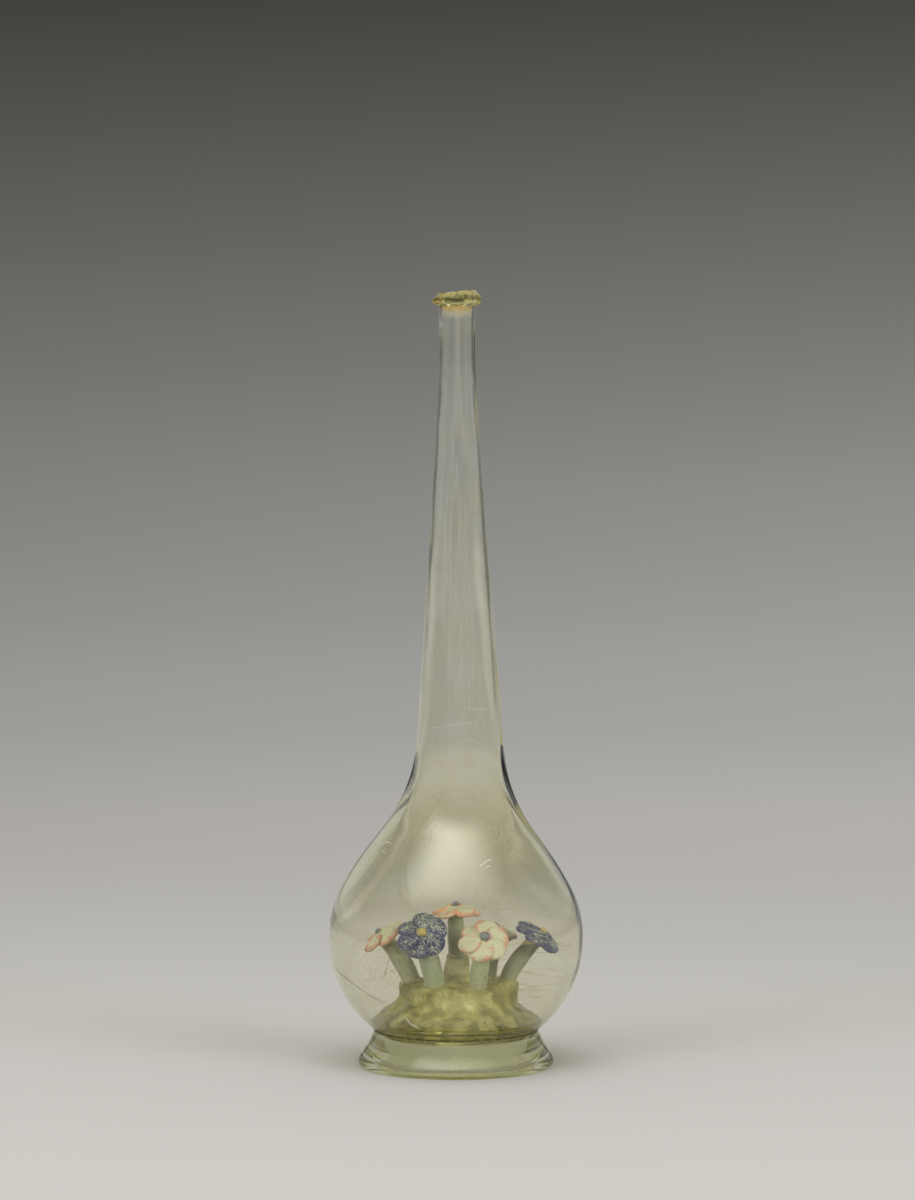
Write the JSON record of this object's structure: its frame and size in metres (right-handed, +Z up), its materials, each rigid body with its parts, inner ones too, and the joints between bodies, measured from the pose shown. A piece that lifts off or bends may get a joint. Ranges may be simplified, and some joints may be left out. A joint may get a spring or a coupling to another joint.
{
  "type": "glass bottle",
  "caption": "Blown pale green glass bottle with a long slender neck, faceted lip and flared foot ring, and lampworked glass flowers standing on an olive mound inside its bulb.",
  "frame": {"origin": "centre of the foot on the surface that the bottle stands on", "axes": "+Z up the bulb's axis towards the mouth, -Y towards the viewer of the flowers' faces, +X to that viewer's right"},
  "size_m": [0.092, 0.092, 0.28],
  "materials": {
    "clear_glass": "clear greenish blown glass",
    "olive_glass": "thick translucent olive glass",
    "celadon_glass": "opaque celadon glass",
    "white_glass": "opaque white glass with pink edges",
    "cobalt_glass": "opaque speckled cobalt glass",
    "dark_blue_glass": "opaque dark blue glass",
    "yellow_glass": "opaque yellow glass"
  },
  "bodies": {
    "root": {"bulb": "clear_glass", "shoulder": "clear_glass", "neck": "clear_glass", "foot_ring": "clear_glass", "flower_mound": "olive_glass", "white_left_stem": "celadon_glass", "white_left_petals": "white_glass", "white_left_eye": "dark_blue_glass", "blue_front_stem": "celadon_glass", "blue_front_petals": "cobalt_glass", "blue_front_eye": "yellow_glass", "white_top_stem": "celadon_glass", "white_top_petals": "white_glass", "white_top_eye": "dark_blue_glass", "white_front_stem": "celadon_glass", "white_front_petals": "white_glass", "white_front_eye": "dark_blue_glass", "white_back_stem": "celadon_glass", "white_back_petals": "white_glass", "white_back_eye": "dark_blue_glass", "blue_right_stem": "celadon_glass", "blue_right_petals": "cobalt_glass", "blue_right_eye": "yellow_glass"}
  },
  "joints": []
}
